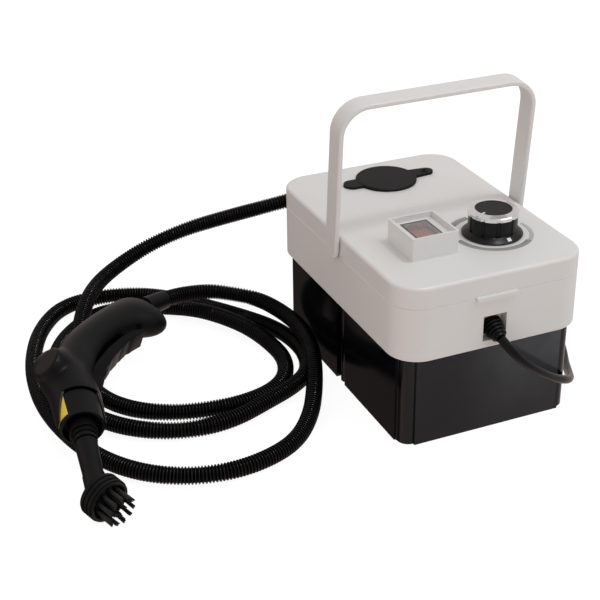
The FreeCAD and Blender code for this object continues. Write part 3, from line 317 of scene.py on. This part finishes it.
def centreline(points):
    """Points that the smooth curve passes through, read from Blender's own evaluation."""
    probe = nurbs("probe", points)
    bpy.context.view_layer.update()
    mesh = bpy.data.meshes.new_from_object(probe)
    line = np.array([v.co for v in mesh.vertices])
    bpy.data.objects.remove(probe)
    bpy.data.meshes.remove(mesh)
    return line


def along(line, stations):
    """Places and directions at distances along a polyline, softened between its vertices."""
    steps = np.linalg.norm(np.diff(line, axis=0), axis=1)
    travel = np.concatenate([[0], np.cumsum(steps)])
    at = np.stack([np.interp(stations, travel, line[:, k]) for k in range(3)], axis=1)
    ahead = np.gradient(at, axis=0)
    ahead /= np.linalg.norm(ahead, axis=1)[:, None]
    return at, ahead, travel[-1]


def mesh_object(name, verts, faces, key, body="machine"):
    """A smooth-shaded piece that rides on a body, from points in metres."""
    data = bpy.data.meshes.new(name)
    data.from_pydata([tuple(v) for v in verts], [], faces)
    data.validate()
    data.polygons.foreach_set("use_smooth", [True] * len(data.polygons))
    obj = bpy.data.objects.new(name, data)
    scene.collection.objects.link(obj)
    data.materials.append(MAT[key])
    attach(obj, body)
    return obj


# Bands under this radius take the darker groove material: painted shade between the ribs.
GROOVE_BELOW = 7.2            # mean radius under which a band of the hose is groove
# One rib: (part of the pitch, radius).
HOSE_PROFILE = [(0.02, 6.3), (0.22, 6.5), (0.36, 7.6), (0.48, 7.9), (0.6, 7.9), (0.74, 7.6), (0.88, 6.5)]


def ribbed_tube(name, line, profile, pitch, key, groove_shade_key, segments=20):
    """A tube with one rib each pitch and painted shade in its grooves; profile holds (part of the pitch,
    radius in millimetres).
    """
    total = along(line, np.array([0.0, 0.001]))[2]
    count = int(total / (pitch * MM))
    stations, radii = [0.0], [profile[0][1]]
    for i in range(count):
        for part, radius in profile:
            stations.append((i + part) * total / count + 1e-6)
            radii.append(radius)
    stations.append(total)
    radii.append(profile[0][1])
    at, ahead, _ = along(line, np.array(stations))
    side = Vector((0, 0, 1)).cross(Vector(ahead[0])).normalized()
    verts, faces, low = [], [], []
    for i, (place, direction, radius) in enumerate(zip(at, ahead, radii)):
        direction = Vector(direction)
        side = (side - direction * side.dot(direction)).normalized()
        up = direction.cross(side)
        for k in range(segments):
            a = 2 * math.pi * k / segments
            verts.append(Vector(place) + (side * math.cos(a) + up * math.sin(a)) * (radius * MM))
        if i:
            base = (i - 1) * segments
            for k in range(segments):
                n = (k + 1) % segments
                faces.append((base + k, base + n, base + segments + n, base + segments + k))
                low.append(int(radii[i] + radii[i - 1] < 2 * GROOVE_BELOW))
    faces.append(tuple(reversed(range(segments))))
    last = (len(at) - 1) * segments
    faces.append(tuple(range(last, last + segments)))
    obj = mesh_object(name, verts, faces, key)
    # The second material darkens the grooves: painted shade.
    obj.data.materials.append(MAT[groove_shade_key])
    obj.data.polygons.foreach_set("material_index", low + [0, 0])
    return obj


cuff_end = CUFF_FROM + CUFF_ALONG * CUFF_REACH
cuff_before = cuff_end + CUFF_ALONG * CUFF_LEAD
hose_points = HOSE_ROUTE + [tuple(gun_world(cuff_before) / MM), tuple(gun_world(cuff_end) / MM)]
hose_line = centreline(hose_points)
hose = ribbed_tube("steam_hose_skin", hose_line, HOSE_PROFILE, HOSE_PITCH, "hose", "hose_groove_shade")
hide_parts("steam_hose")


def ring_point(radius, angle, height):
    return (COIL[0] + radius * math.cos(angle), COIL[1] + radius * math.sin(angle), height)


def coil_points():
    """Turns that shift to the next radius near their ends: three on the floor, then the upper ones."""
    radii = FLOOR_TURNS + UPPER_TURNS + FLOOR_TURNS[:1]
    heights = [FLOOR_LAYER] * 3 + [UPPER_LAYER] * 2 + [LAST_LAYER]
    points = []
    for number in range(len(radii) - 1):
        for k in range(COIL_STEPS):
            part = k / COIL_STEPS
            early = SHIFT_EARLIER * (number == 2)
            shift = min(1.0, max(0.0, (part - SHIFT_STARTS + early) / SHIFT_LASTS))
            radius = radii[number] + (radii[number + 1] - radii[number]) * shift
            height = heights[number] + (heights[number + 1] - heights[number]) * shift
            points.append(ring_point(radius, 2 * math.pi * part, height))
    for k in range(4):
        points.append(ring_point(FLOOR_TURNS[0], 2 * math.pi * k / COIL_STEPS, LAST_LAYER))
    return points


cord_points = CORD_ROUTE + coil_points() + [
    (COIL[0] + 6, COIL[1] + 51.8, 12.8), (COIL[0] - 14, COIL[1] + 52.2, 13.2),
    (COIL[0] - 36, COIL[1] + 56, 15.8), PLUG_TAIL]
cord = nurbs("power_cord_skin", cord_points, CORD_D)
cord.data.materials.append(MAT["cord"])
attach(cord, "machine")
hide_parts("power_cord", "power_cord_coil")

# ---- the gun's skin -----------------------------------------------------------------------------------
GUN_FRAME = Matrix(((GUN_A.x, GUN_B.x, GUN_N.x, GUN_O.x * MM), (GUN_A.y, GUN_B.y, GUN_N.y, GUN_O.y * MM),
                    (GUN_A.z, GUN_B.z, GUN_N.z, GUN_O.z * MM), (0, 0, 0, 1)))


def raw_object(name, verts, faces):
    """A mesh given in millimetres of whatever axes it is worked in; not yet part of the object."""
    data = bpy.data.meshes.new(name)
    data.from_pydata([tuple(c * MM for c in v) for v in verts], [], faces)
    obj = bpy.data.objects.new(name, data)
    scene.collection.objects.link(obj)
    return obj


def settle(obj):
    """Keep what the modifiers make, and drop the modifiers."""
    bpy.context.view_layer.update()
    shown = obj.evaluated_get(bpy.context.evaluated_depsgraph_get())
    made = bpy.data.meshes.new_from_object(shown)
    obj.modifiers.clear()
    old = obj.data
    obj.data = made
    bpy.data.meshes.remove(old)
    return obj


def carve(obj, cutter, operation="DIFFERENCE"):
    step = obj.modifiers.new("carve", "BOOLEAN")
    step.operation = operation
    step.object = cutter
    step.solver = "EXACT"
    settle(obj)
    bpy.data.objects.remove(cutter)
    return obj


def remeshed(obj, voxel, smooth):
    step = obj.modifiers.new("skin", "REMESH")
    step.mode = "VOXEL"
    step.voxel_size = voxel * MM
    settle(obj)
    if smooth:
        step = obj.modifiers.new("ease", "SMOOTH")
        step.factor = 0.5
        step.iterations = smooth
        settle(obj)
    return obj


def soften_edges(obj, angle=35.0):
    """Shade smooth, and keep edges sharper than the angle crisp."""
    mesh = bmesh.new()
    mesh.from_mesh(obj.data)
    limit = math.radians(angle)
    for face in mesh.faces:
        face.smooth = True
    for edge in mesh.edges:
        edge.smooth = not (len(edge.link_faces) == 2 and edge.calc_face_angle(0.0) > limit)
    mesh.to_mesh(obj.data)
    mesh.free()
    return obj


def smooth_rows(rows, count):
    """Catmull-Rom through rows of numbers."""
    rows = np.array(rows, float)
    padded = np.vstack([2 * rows[0] - rows[1], rows, 2 * rows[-1] - rows[-2]])
    made = []
    for t in np.linspace(0, len(rows) - 1, count):
        i = min(int(t), len(rows) - 2)
        f = t - i
        a, b, c, d = padded[i:i + 4]
        square = (2 * a - 5 * b + 4 * c - d) * f * f
        made.append(0.5 * (2 * b + (c - a) * f + square + (3 * b - a - 3 * c + d) * f ** 3))
    return np.array(made)


def loft(name, sections, count=60, segments=48):
    """Closed skin through ellipses: rows of centre, normal, half-sizes in the gun's plane and across it."""
    verts, faces = [], []
    rows = smooth_rows(sections, count)
    for row in rows:
        centre, normal = Vector(row[:3]), Vector(row[3:6]).normalized()
        side = Vector((0, 0, 1)).cross(normal).normalized()
        flank = normal.cross(side)
        for k in range(segments):
            a = 2 * math.pi * k / segments
            verts.append(centre + side * (row[6] * math.cos(a)) + flank * (row[7] * math.sin(a)))
    for i in range(len(rows) - 1):
        for k in range(segments):
            n = (k + 1) % segments
            j = i * segments
            faces.append((j + k, j + n, j + segments + n, j + segments + k))
    faces.append(tuple(reversed(range(segments))))
    last = (len(rows) - 1) * segments
    faces.append(tuple(range(last, last + segments)))
    return raw_object(name, verts, faces)


def drum(name, centre, axis, radii, segments=64):
    """Turned piece about an axis: rows of (distance along, radius), closed at both ends."""
    axis = Vector(axis).normalized()
    side = axis.orthogonal().normalized()
    up = axis.cross(side)
    verts, faces = [], []
    for distance, radius in radii:
        for k in range(segments):
            a = 2 * math.pi * k / segments
            verts.append(Vector(centre) + axis * distance + (side * math.cos(a) + up * math.sin(a)) * radius)
    for i in range(len(radii) - 1):
        for k in range(segments):
            n = (k + 1) % segments
            j = i * segments
            faces.append((j + k, j + n, j + segments + n, j + segments + k))
    faces.append(tuple(reversed(range(segments))))
    last = (len(radii) - 1) * segments
    faces.append(tuple(range(last, last + segments)))
    return raw_object(name, verts, faces)


def slab(name, outline, low, high):
    """Prism of an outline in the gun's plane between two heights across it."""
    n = len(outline)
    verts = [(u, v, low) for u, v in outline] + [(u, v, high) for u, v in outline]
    faces = [tuple(reversed(range(n))), tuple(range(n, 2 * n))]
    faces += [(i, (i + 1) % n, n + (i + 1) % n, n + i) for i in range(n)]
    return raw_object(name, verts, faces)


def joined(name, objects):
    """One object made of several closed skins that pass into each other."""
    mesh = bmesh.new()
    for obj in objects:
        mesh.from_mesh(obj.data)
        bpy.data.objects.remove(obj)
    data = bpy.data.meshes.new(name)
    mesh.to_mesh(data)
    mesh.free()
    obj = bpy.data.objects.new(name, data)
    scene.collection.objects.link(obj)
    return obj


def keep(obj, name, key, replaced=(), body="machine", place=GUN_FRAME):
    """Move a worked piece into the row frame and make it part of the object."""
    if place is not None:
        obj.data.transform(place)
    obj.name = name
    obj.data.materials.clear()
    obj.data.materials.append(MAT[key])
    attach(obj, body)
    if replaced:
        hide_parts(*replaced)
    return obj


def grip_row(along_, across, side, flank):
    """One section of the grip, square to the grip's own direction."""
    centre = GRIP_ALONG * along_ + GRIP_ACROSS * across
    return (centre.x, centre.y, 0, GRIP_ALONG.x, GRIP_ALONG.y, 0, side, flank)


def carve_scoops(obj):
    """Flatten both flanks of the barrel towards the sleeve."""
    for sign in (1, -1):
        verts = [(u, v, sign * w) for v in (-40, 40) for u, w in SCOOP]
        faces = [(0, 1, 2, 3), (7, 6, 5, 4)] + [(i, 4 + i, 4 + (i + 1) % 4, (i + 1) % 4) for i in range(4)]
        cutter = raw_object("scoop", verts, faces)
        mesh = bmesh.new()
        mesh.from_mesh(cutter.data)
        bmesh.ops.recalc_face_normals(mesh, faces=mesh.faces)
        mesh.to_mesh(cutter.data)
        mesh.free()
        obj = carve(obj, cutter)
    return obj


# Sections of the barrel: along it, towards the trigger, half-size in the gun's plane and across it.
BARREL_ROWS = [(-67, -8, 9, 7), (-62, -8, 18, 13.5), (-50, -7, 24.5, 19), (-34, -4.5, 24.5, 21),
               (-16, -1.2, 22.8, 22), (0, 0, 22.6, 22.6), (30, 0, 21.4, 21.4)]
# The same for the grip, along and across the grip's own directions.
GRIP_ROWS = [(22, -22, 20, 19), (40, -30, 21.5, 19), (62, -38, 20.5, 18.3), (85, -41.5, 19.5, 18),
             (112, -41.5, 19.5, 17.5), (134, -37.5, 22.5, 17), (151, -31, 27.5, 16.5),
             (163, -29, 26, 14), (169, -28.5, 19, 9.5), (171, -28.5, 10, 5)]
BOSS_AT = Vector((-36, -4, 2))
BOSS_AXIS = Vector((-0.12, -0.84, 0.53)).normalized()
BOSS_PROFILE = [(2, 17), (20, 16.5), (24.2, 15.5), (25.4, 14.2)]
SCOOP = [(0.0, 15.0), (31, 3.0), (31, 40), (0.0, 40)]
BORE_FROM, BORE_R, BORE_DEEP = (-3, 0, 0), 20.7, 45
CUFF_HOLE_R, CUFF_HOLE_DEEP = 8.6, 30
TRIGGER_SLOT = [(-9.5, 17), (-12, 27), (-30, 33), (-50, 42), (-68, 54), (-84, 68), (-94, 80),
                (-107, 84), (-113, 74), (-112, 60), (-97, 44), (-76, 30), (-55, 18.5), (-36, 11),
                (-20, 9), (-11, 10)]
SLOT_HALF = 9.6
TRIGGER_OUTLINE = [(-12, 19), (-13.5, 23.4), (-22, 26.2), (-44, 33.6), (-61, 43.6), (-80, 58),
                   (-92, 70.4), (-99, 79), (-103.5, 79), (-102.5, 71), (-90, 55), (-72, 39),
                   (-53, 26), (-36, 17), (-22, 12), (-14, 13)]
TRIGGER_HALF = 9.0
FINGERS = ((-30, 28.6), (-45, 34.4), (-58.5, 42.4), (-71, 51.4), (-82.5, 60.8))
FINGER_OUT = (4.6, 7.4)       # from the lever's edge to the middle of each scallop
FINGER_R = 9.4

barrel = loft("barrel", [(u, v, 0, 1, 0, 0, s, f) for u, v, s, f in BARREL_ROWS])
grip = loft("grip", [grip_row(*row) for row in GRIP_ROWS])
body = remeshed(joined("gun_body", [barrel, grip]), 1.6, 14)
body = remeshed(joined("gun_body", [body, drum("boss", BOSS_AT, BOSS_AXIS, BOSS_PROFILE)]), 1.3, 6)
body = carve_scoops(body)
body = carve(body, drum("bore", BORE_FROM, (1, 0, 0), [(0, BORE_R), (BORE_DEEP, BORE_R)]))
body = carve(body, slab("slot", TRIGGER_SLOT, -SLOT_HALF, SLOT_HALF))
cuff_hole = drum("cuff_hole", CUFF_FROM, CUFF_ALONG, [(0, CUFF_HOLE_R), (CUFF_HOLE_DEEP, CUFF_HOLE_R)])
body = carve(body, cuff_hole)
soften_edges(body)
keep(body, "gun_shells_skin", "black", ("gun_shell_upper", "gun_shell_lower"))

trigger = slab("trigger", list(reversed(TRIGGER_OUTLINE)), -TRIGGER_HALF, TRIGGER_HALF)
for u, v in FINGERS:
    middle = (u + FINGER_OUT[0], v + FINGER_OUT[1], -20)
    trigger = carve(trigger, drum("finger", middle, (0, 0, 1), [(0, FINGER_R), (40, FINGER_R)]))
edge = trigger.modifiers.new("edge", "BEVEL")
edge.width = 1.0 * MM
edge.segments = 2
edge.limit_method = "ANGLE"
edge.angle_limit = math.radians(40)
settle(trigger)
soften_edges(trigger)
# The trigger's darker material is painted shade.
keep(trigger, "trigger_skin", "trigger", ("gun_trigger",), body="trigger")

# ---- bristles -------------------------------------------------------------------------------------------
BRUSH_AXIS = Vector((0.863, 0.482, 0.134)).normalized()
BRUSH_RIM = Vector((121, 7.6, 2.2))
BUNDLES = ((11, 12.6, 24.0), (5, 5.6, 22.0))      # how many, radius of their ring, length
ROOT_DEPTH = 8
STRANDS = 12
BUNDLE_R = 1.15
STRAND_R = 0.42
STRAND_SIDES = 6
SPIRAL_TURN = 2.4             # radians from one strand of a bundle to the next


def bristles():
    """Bundles of fine strands, ragged at their tips."""
    draw = random.Random(7)
    side = BRUSH_AXIS.cross(Vector((0, 0, 1))).normalized()
    up_ = side.cross(BRUSH_AXIS)
    verts, faces = [], []

    def strand(root, tip, thick):
        way = (tip - root).normalized()
        across = way.orthogonal().normalized()
        over = way.cross(across)
        base = len(verts)
        for place, r in ((root, thick), (tip - way * 0.6, thick), (tip, thick * 0.4)):
            for k in range(STRAND_SIDES):
                a = 2 * math.pi * k / STRAND_SIDES
                verts.append(place + (across * math.cos(a) + over * math.sin(a)) * r)
        for low in (base, base + STRAND_SIDES):
            high = low + STRAND_SIDES
            for k in range(STRAND_SIDES):
                n = (k + 1) % STRAND_SIDES
                faces.append((low + k, low + n, high + n, high + k))
        faces.append(tuple(base + STRAND_SIDES - 1 - k for k in range(STRAND_SIDES)))
        faces.append(tuple(base + 2 * STRAND_SIDES + k for k in range(STRAND_SIDES)))

    for count, ring, length in BUNDLES:
        for i in range(count):
            angle = 2 * math.pi * (i + 0.5) / count
            root = BRUSH_RIM - BRUSH_AXIS * ROOT_DEPTH
            root = root + side * (ring * math.cos(angle)) + up_ * (ring * math.sin(angle))
            for k in range(STRANDS):
                turn, far = SPIRAL_TURN * k, BUNDLE_R * math.sqrt((k + 0.3) / STRANDS)
                spot = side * (far * math.cos(turn)) + up_ * (far * math.sin(turn))
                splay = spot * draw.uniform(0.2, 0.7)
                tip = root + spot + splay + BRUSH_AXIS * (length - draw.uniform(0.0, 2.4))
                strand(root + spot, tip, STRAND_R)
    return raw_object("brush_tufts_skin", verts, faces)


keep(bristles(), "brush_tufts_skin", "bristle", ("brush_tufts",), body="brush")


# ---- floor, light and camera ------------------------------------------------------------------------
FLOOR_HALF = 9
FLOOR_DROP = 0.0004           # keeps the floor just under what stands on it

floor_data = bpy.data.meshes.new("floor")
floor_corners = [(x * FLOOR_HALF, y * FLOOR_HALF, 0) for x, y in ((-1, -1), (1, -1), (1, 1), (-1, 1))]
floor_data.from_pydata(floor_corners, [], [(0, 1, 2, 3)])
floor = bpy.data.objects.new("floor", floor_data)
scene.collection.objects.link(floor)
floor.location.z = -FLOOR_DROP
floor_data.materials.append(material("paper_floor", (0.22, 0.22, 0.22), 0.9, vary=0.004, spec=0.05,
                                     emit=((1.0, 1.0, 1.0), 0.92)))
floor.visible_diffuse = False     # the floor neither lights the object nor shows in its gloss
floor.visible_glossy = False


def studio(top, below, above, flag, flag_edge):
    """A tent of light that runs smoothly from one colour below to another above, with one dark flag."""
    world = bpy.data.worlds.new("studio")
    world.use_nodes = True
    nt = world.node_tree
    where = nt.nodes.new("ShaderNodeTexCoord")

    def facing(direction):
        node = nt.nodes.new("ShaderNodeVectorMath")
        node.operation = "DOT_PRODUCT"
        node.inputs[1].default_value = Vector(direction).normalized()
        nt.links.new(where.outputs["Generated"], node.inputs[0])
        return node.outputs["Value"]

    ramp = nt.nodes.new("ShaderNodeMapRange")
    ramp.data_type = "FLOAT_VECTOR"
    for socket, value in ((7, (-1, -1, -1)), (8, (1, 1, 1)), (9, below), (10, above)):
        ramp.inputs[socket].default_value = value
    nt.links.new(facing(top), ramp.inputs[6])
    shade = nt.nodes.new("ShaderNodeMapRange")
    shade.interpolation_type = "SMOOTHSTEP"
    for socket, value in ((1, flag_edge[0]), (2, flag_edge[1]), (3, 1.0), (4, 0.12)):
        shade.inputs[socket].default_value = value
    nt.links.new(facing(flag), shade.inputs[0])
    back = nt.nodes["Background"]
    nt.links.new(ramp.outputs["Vector"], back.inputs["Color"])
    nt.links.new(shade.outputs["Result"], back.inputs["Strength"])
    return world


scene.world = studio(top=(0.40, -0.38, 0.83), below=(0.85, 0.69, 0.635), above=(0.55, 0.575, 0.58),
                     flag=(-0.45, 0.74, -0.50), flag_edge=(0.70, 0.93))


def softbox(name, place, aim, size, power):
    """A white rectangular light: place, aim and size in metres, power in watts."""
    light = bpy.data.lights.new(name, "AREA")
    light.shape = "RECTANGLE"
    light.size, light.size_y = size
    light.energy = power
    obj = bpy.data.objects.new(name, light)
    scene.collection.objects.link(obj)
    obj.location = place
    obj.rotation_euler = (Vector(aim) - Vector(place)).to_track_quat("-Z", "Y").to_euler()
    return obj


softbox("top_light", (0.5, -0.3, 1.9), (0, 0, 0.1), (0.22, 0.22), 5)
glint = softbox("glint_light", (0.3, -0.5, 1.9), (-0.2, 0, 0), (0.12, 0.12), 14)
glint.visible_diffuse = False     # adds only highlights to glossy surfaces
softbox("side_light", (0.6, -0.45, 1.0), (0, 0, 0.12), (0.6, 0.6), 1.5)
softbox("front_light", (1.1, -1.9, 1.3), (0, 0, 0.08), (0.28, 0.28), 1.5)

LENS = 81.86
CAMERA_AT = (-0.5598, -1.0077, 0.6763)
YAW, PITCH, ROLL = 0.406, 0.487, -0.013

camera_data = bpy.data.cameras.new("camera")
camera = bpy.data.objects.new("camera", camera_data)
scene.collection.objects.link(camera)
camera_data.sensor_width = 36.0
camera_data.lens = LENS
camera_data.clip_end = 50
forward = Vector((math.sin(YAW) * math.cos(PITCH), math.cos(YAW) * math.cos(PITCH), -math.sin(PITCH)))
right = Vector((math.cos(YAW), -math.sin(YAW), 0))
up = right.cross(forward)
right_r = right * math.cos(ROLL) + up * math.sin(ROLL)
up_r = up * math.cos(ROLL) - right * math.sin(ROLL)
camera.matrix_world = Matrix(((right_r.x, up_r.x, -forward.x, CAMERA_AT[0]),
                              (right_r.y, up_r.y, -forward.y, CAMERA_AT[1]),
                              (right_r.z, up_r.z, -forward.z, CAMERA_AT[2]), (0, 0, 0, 1)))
scene.camera = camera
scene.view_settings.view_transform = "Standard"
